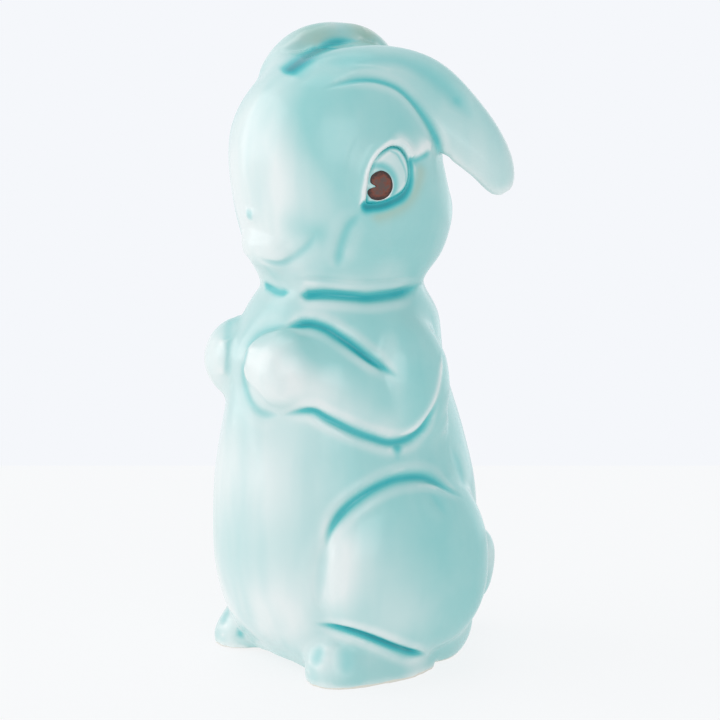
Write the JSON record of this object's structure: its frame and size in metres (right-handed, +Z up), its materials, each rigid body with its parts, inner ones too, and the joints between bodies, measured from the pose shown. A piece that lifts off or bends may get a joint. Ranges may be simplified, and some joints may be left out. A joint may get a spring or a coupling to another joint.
{
  "type": "rabbit figurine",
  "caption": "Sitting ceramic rabbit with lop ears swept back, folded front legs and a flat base, glazed pale celadon over carved creases.",
  "frame": {"origin": "on the flat base, on the rabbit's midplane, just in front of the pour hole", "axes": "+Z up from the base towards the ears, -Y the way the rabbit faces, +X the rabbit's own left"},
  "size_m": [0.0716, 0.0802, 0.1583],
  "materials": {
    "body_glaze": "gloss",
    "eye_glaze": "gloss",
    "pupil_enamel": "gloss"
  },
  "bodies": {
    "root": {"torso": "body_glaze", "head": "body_glaze", "left_ear": "body_glaze", "right_ear": "body_glaze", "left_arm": "body_glaze", "right_arm": "body_glaze", "left_haunch": "body_glaze", "right_haunch": "body_glaze", "left_foot": "body_glaze", "right_foot": "body_glaze", "tail": "body_glaze", "left_eyeball": "eye_glaze", "right_eyeball": "eye_glaze", "left_pupil": "pupil_enamel", "right_pupil": "pupil_enamel"}
  },
  "joints": []
}
